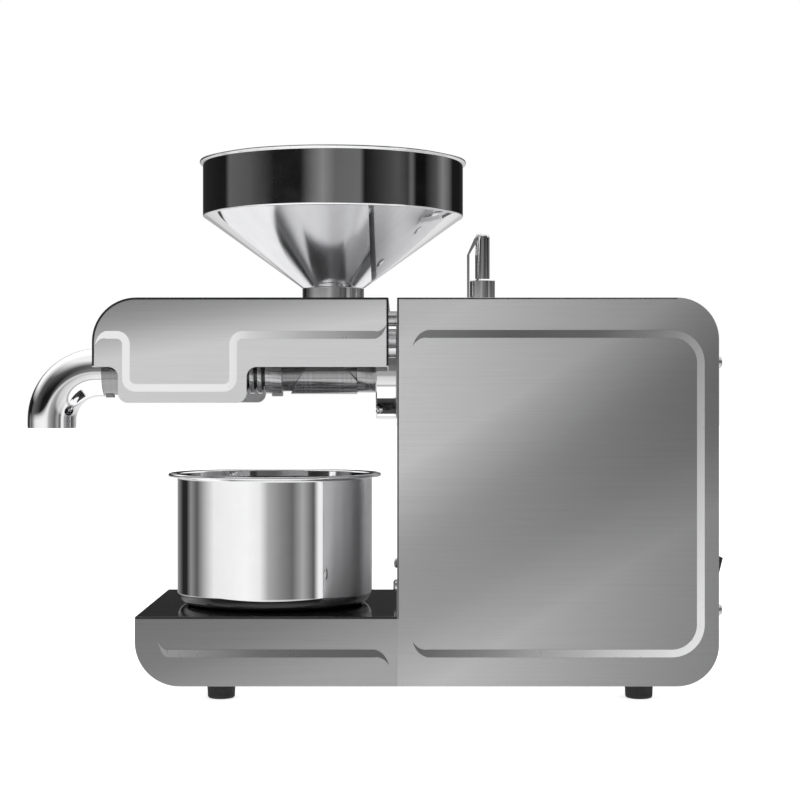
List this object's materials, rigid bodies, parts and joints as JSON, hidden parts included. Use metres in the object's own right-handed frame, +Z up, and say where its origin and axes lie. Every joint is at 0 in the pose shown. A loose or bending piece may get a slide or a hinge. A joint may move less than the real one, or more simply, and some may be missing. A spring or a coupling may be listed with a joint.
{
  "type": "screw oil press",
  "caption": "Household screw oil press: round seed hopper over a ribbed pressing barrel, bent cake outlet, oil bowl on a tray and a boxed geared drive.",
  "frame": {"origin": "on the table under the middle of the press's bounding box", "axes": "+X along the pressing screw from the cake outlet towards the drive housing, +Y from the front panel to the rear panel, +Z up"},
  "size_m": [0.4616, 0.1804, 0.3534],
  "materials": {
    "brushed_sheet": "horizontally brushed stainless sheet",
    "polished_steel": "mirror polished stainless",
    "turned_steel": "turned and ground steel",
    "screw_steel": "plain steel",
    "black_tray": "gloss black",
    "rubber": "matt rubber",
    "bronze": "sintered bronze",
    "brass_band": "rolled brass",
    "cast_case": "as cast",
    "motor_paint": "satin black",
    "black_plastic": "moulded black",
    "board": "laminate"
  },
  "bodies": {
    "root": {"housing_front_panel": "brushed_sheet", "housing_rear_panel": "brushed_sheet", "housing_wrap": "brushed_sheet", "bulkhead": "brushed_sheet", "end_plate": "brushed_sheet", "base_front_panel": "brushed_sheet", "base_rear_panel": "brushed_sheet", "base_trough": "brushed_sheet", "tray_plate": "black_tray", "feet": "rubber", "foot_screws": "screw_steel", "hood_front_panel": "brushed_sheet", "hood_rear_panel": "brushed_sheet", "hood_wrap": "brushed_sheet", "hood_spacers": "screw_steel", "hood_screws": "screw_steel", "top_screws": "screw_steel", "end_plate_screws": "screw_steel", "wall_screws": "screw_steel", "seat_screws": "screw_steel", "base_screws": "screw_steel", "seat_sleeve": "polished_steel", "seat_plunger": "polished_steel", "heater_band": "brass_band", "heater_screw": "screw_steel", "thermostat": "black_plastic", "lock_bush": "polished_steel", "gear_case": "cast_case", "gear_cover": "cast_case", "output_bearings": "turned_steel", "idler_bearings": "turned_steel", "motor_bearings": "turned_steel", "motor_can": "motor_paint", "motor_front_bell": "cast_case", "motor_rear_bell": "cast_case", "drive_stand": "brushed_sheet", "switch_bodies": "black_plastic", "mains_inlet": "black_plastic", "control_board": "board"},
    "barrel": {"press_barrel": "turned_steel", "feed_saddle": "turned_steel", "end_nut": "turned_steel", "cake_elbow": "polished_steel", "screw_bush": "bronze"},
    "screw": {"press_screw": "turned_steel"},
    "drive": {"output_shaft": "turned_steel", "output_gear": "turned_steel"},
    "idler": {"idler_cluster": "turned_steel"},
    "motor_rotor": {"rotor": "turned_steel", "motor_pinion": "turned_steel", "cooling_fan": "black_plastic"},
    "lock": {"lock_screw": "polished_steel"},
    "hopper": {"feed_hopper": "polished_steel"},
    "bowl": {"oil_bowl": "polished_steel"},
    "heat_switch": {"heat_rocker": "black_plastic"},
    "press_switch": {"press_rocker": "black_plastic"},
    "clear_switch": {"clear_rocker": "black_plastic"}
  },
  "joints": [
    {"name": "drive_spin", "type": "hinge", "parent": "root", "child": "drive", "pos_m": [0.10029, 0, 0.2106], "axis": [1, 0, 0], "continuous": true},
    {"name": "screw_spin", "type": "hinge", "parent": "barrel", "child": "screw", "pos_m": [0.02029, 0, 0.2106], "axis": [1, 0, 0], "continuous": true},
    {"name": "idler_spin", "type": "hinge", "parent": "root", "child": "idler", "pos_m": [0.12029, 0, 0.1651], "axis": [1, 0, 0], "continuous": true},
    {"name": "motor_spin", "type": "hinge", "parent": "root", "child": "motor_rotor", "pos_m": [0.17029, 0, 0.1251], "axis": [1, 0, 0], "continuous": true},
    {"name": "barrel_slide", "type": "slide", "parent": "root", "child": "barrel", "axis": [-1, 0, 0], "range_m": [0, 0.088]},
    {"name": "hopper_lift", "type": "slide", "parent": "root", "child": "hopper", "axis": [0, 0, 1], "range_m": [0, 0.1]},
    {"name": "bowl_slide", "type": "slide", "parent": "root", "child": "bowl", "axis": [0, -1, 0], "range_m": [0, 0.2]},
    {"name": "lock_turn", "type": "hinge", "parent": "root", "child": "lock", "pos_m": [0.07819, 0, 0.2568], "axis": [0, 0, 1], "range_deg": [0, 90]},
    {"name": "heat_rock", "type": "hinge", "parent": "root", "child": "heat_switch", "pos_m": [0.22499, -0.0535, 0.078], "axis": [0, -1, 0], "range_deg": [0, 14]},
    {"name": "press_rock", "type": "hinge", "parent": "root", "child": "press_switch", "pos_m": [0.22499, -0.0265, 0.078], "axis": [0, -1, 0], "range_deg": [0, 14]},
    {"name": "clear_rock", "type": "hinge", "parent": "root", "child": "clear_switch", "pos_m": [0.22499, 0.0005, 0.078], "axis": [0, -1, 0], "range_deg": [0, 14]}
  ],
  "couplings": [
    {"joint": "screw_spin", "follows": "drive_spin", "ratio": 1},
    {"joint": "idler_spin", "follows": "drive_spin", "ratio": -3.3333},
    {"joint": "motor_spin", "follows": "drive_spin", "ratio": 14.444}
  ]
}
